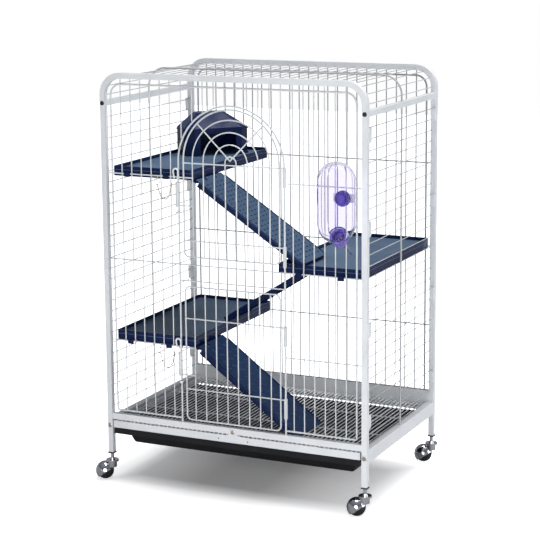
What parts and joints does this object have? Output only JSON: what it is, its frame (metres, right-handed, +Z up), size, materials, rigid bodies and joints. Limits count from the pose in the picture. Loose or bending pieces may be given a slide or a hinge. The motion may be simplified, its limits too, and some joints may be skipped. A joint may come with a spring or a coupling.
{
  "type": "ferret cage",
  "caption": "Tall wire pet cage on ball casters with an arched upper door, a lower door, shelves with ramps, a faceted hut, a drinking bottle, a floor grate and a slide-out tray.",
  "frame": {"origin": "on the floor under the middle of the outline of the whole object, casters and bottle included", "axes": "+X to the right when facing the doors, +Y from the doors to the rear, +Z up"},
  "size_m": [0.6836, 0.5076, 0.941],
  "materials": {
    "white_powder_coat": "smooth white powder coat on steel",
    "dark_steel": "blackened bolt heads",
    "zinc_brass": "yellow zinc plated screws",
    "black_plastic": "grained black moulded plastic",
    "chrome": "bright plating",
    "wheel_rubber": "semi-matt black tread",
    "navy_plastic": "glossy dark navy moulded plastic",
    "slate_plastic": "embossed grey-blue moulded plastic",
    "clear_plastic": "clear blown plastic with a faint lavender tint",
    "purple_plastic": "ribbed purple moulded plastic"
  },
  "bodies": {
    "cage": {"front_frame": "white_powder_coat", "rear_frame": "white_powder_coat", "top_side_rails": "white_powder_coat", "left_base_rail": "white_powder_coat", "right_base_rail": "white_powder_coat", "front_base_rail": "white_powder_coat", "rear_base_rail": "white_powder_coat", "upper_bolts": "dark_steel", "lower_bolts": "zinc_brass", "leg_plugs": "black_plastic", "top_panel": "white_powder_coat", "left_side_panel": "white_powder_coat", "right_side_panel": "white_powder_coat", "panel_tabs": "white_powder_coat", "rear_panel": "white_powder_coat", "front_border": "white_powder_coat", "front_left_bay": "white_powder_coat", "front_right_bay": "white_powder_coat", "front_top_wires": "white_powder_coat", "door_posts": "white_powder_coat", "door_arch": "white_powder_coat", "front_cross_wires": "white_powder_coat", "latch_keepers": "white_powder_coat", "upper_chain": "chrome", "lower_chain": "chrome", "upper_shelf": "navy_plastic", "middle_shelf": "navy_plastic", "lower_shelf": "navy_plastic", "hut": "navy_plastic", "bottle_body": "clear_plastic", "bottle_cap": "purple_plastic", "bottle_spout": "chrome", "bottle_bracket": "white_powder_coat", "caster_stems": "chrome"},
    "upper_door_leaf": {"upper_door": "white_powder_coat"},
    "lower_door_leaf": {"lower_door": "white_powder_coat"},
    "upper_pin": {"upper_latch_pin": "white_powder_coat"},
    "lower_pin": {"lower_latch_pin": "white_powder_coat"},
    "upper_ramp_leaf": {"upper_ramp": "slate_plastic"},
    "middle_ramp_leaf": {"middle_ramp": "slate_plastic"},
    "lower_ramp_leaf": {"lower_ramp": "slate_plastic"},
    "knob": {"bottle_knob": "purple_plastic"},
    "grate_slide": {"grate": "white_powder_coat", "grate_plate": "white_powder_coat", "grate_screw": "zinc_brass"},
    "tray_slide": {"tray": "black_plastic"},
    "swivel_fl": {"caster_hood_fl": "chrome", "caster_axle_fl": "chrome"},
    "wheel_fl": {"caster_wheel_fl": "wheel_rubber"},
    "swivel_fr": {"caster_hood_fr": "chrome", "caster_axle_fr": "chrome"},
    "wheel_fr": {"caster_wheel_fr": "wheel_rubber"},
    "swivel_rl": {"caster_hood_rl": "chrome", "caster_axle_rl": "chrome"},
    "wheel_rl": {"caster_wheel_rl": "wheel_rubber"},
    "swivel_rr": {"caster_hood_rr": "chrome", "caster_axle_rr": "chrome"},
    "wheel_rr": {"caster_wheel_rr": "wheel_rubber"}
  },
  "joints": [
    {"name": "upper_door_hinge", "type": "hinge", "parent": "cage", "child": "upper_door_leaf", "pos_m": [0.14135, -0.18848, 0.7], "axis": [0, 0, 1], "range_deg": [0, 120]},
    {"name": "lower_door_hinge", "type": "hinge", "parent": "cage", "child": "lower_door_leaf", "pos_m": [0.14135, -0.18848, 0.32], "axis": [0, 0, 1], "range_deg": [0, 120]},
    {"name": "upper_latch_slide", "type": "slide", "parent": "upper_door_leaf", "child": "upper_pin", "axis": [0, 0, 1], "range_m": [-0.006, 0.014]},
    {"name": "lower_latch_slide", "type": "slide", "parent": "lower_door_leaf", "child": "lower_pin", "axis": [0, 0, 1], "range_m": [-0.006, 0.014]},
    {"name": "upper_ramp_hinge", "type": "hinge", "parent": "cage", "child": "upper_ramp_leaf", "pos_m": [-0.07895, -0.11488, 0.7055], "axis": [0, -1, 0], "range_deg": [0, 20]},
    {"name": "middle_ramp_hinge", "type": "hinge", "parent": "cage", "child": "middle_ramp_leaf", "pos_m": [0.11605, 0.05473, 0.492], "axis": [0, 1, 0], "range_deg": [0, 20]},
    {"name": "lower_ramp_hinge", "type": "hinge", "parent": "cage", "child": "lower_ramp_leaf", "pos_m": [-0.07895, -0.11488, 0.3295], "axis": [0, -1, 0], "range_deg": [0, 20]},
    {"name": "bottle_knob_turn", "type": "hinge", "parent": "cage", "child": "knob", "pos_m": [0.27746, -0.19478, 0.6936], "axis": [0, 1, 0], "continuous": true},
    {"name": "grate_pull", "type": "slide", "parent": "cage", "child": "grate_slide", "axis": [0, -1, 0], "range_m": [0, 0.3]},
    {"name": "tray_pull", "type": "slide", "parent": "cage", "child": "tray_slide", "axis": [0, -1, 0], "range_m": [0, 0.3]},
    {"name": "caster_swivel_fl", "type": "hinge", "parent": "cage", "child": "swivel_fl", "pos_m": [-0.3002, -0.18752, 0.045], "axis": [0, 0, 1], "continuous": true},
    {"name": "caster_roll_fl", "type": "hinge", "parent": "swivel_fl", "child": "wheel_fl", "pos_m": [-0.3196, -0.18752, 0.0196], "axis": [0, 1, 0], "continuous": true},
    {"name": "caster_swivel_fr", "type": "hinge", "parent": "cage", "child": "swivel_fr", "pos_m": [0.3273, -0.18752, 0.045], "axis": [0, 0, 1], "continuous": true},
    {"name": "caster_roll_fr", "type": "hinge", "parent": "swivel_fr", "child": "wheel_fr", "pos_m": [0.3079, -0.18752, 0.0196], "axis": [0, 1, 0], "continuous": true},
    {"name": "caster_swivel_rl", "type": "hinge", "parent": "cage", "child": "swivel_rl", "pos_m": [-0.3002, 0.22998, 0.045], "axis": [0, 0, 1], "continuous": true},
    {"name": "caster_roll_rl", "type": "hinge", "parent": "swivel_rl", "child": "wheel_rl", "pos_m": [-0.3196, 0.22998, 0.0196], "axis": [0, 1, 0], "continuous": true},
    {"name": "caster_swivel_rr", "type": "hinge", "parent": "cage", "child": "swivel_rr", "pos_m": [0.3273, 0.22998, 0.045], "axis": [0, 0, 1], "continuous": true},
    {"name": "caster_roll_rr", "type": "hinge", "parent": "swivel_rr", "child": "wheel_rr", "pos_m": [0.3079, 0.22998, 0.0196], "axis": [0, 1, 0], "continuous": true}
  ]
}
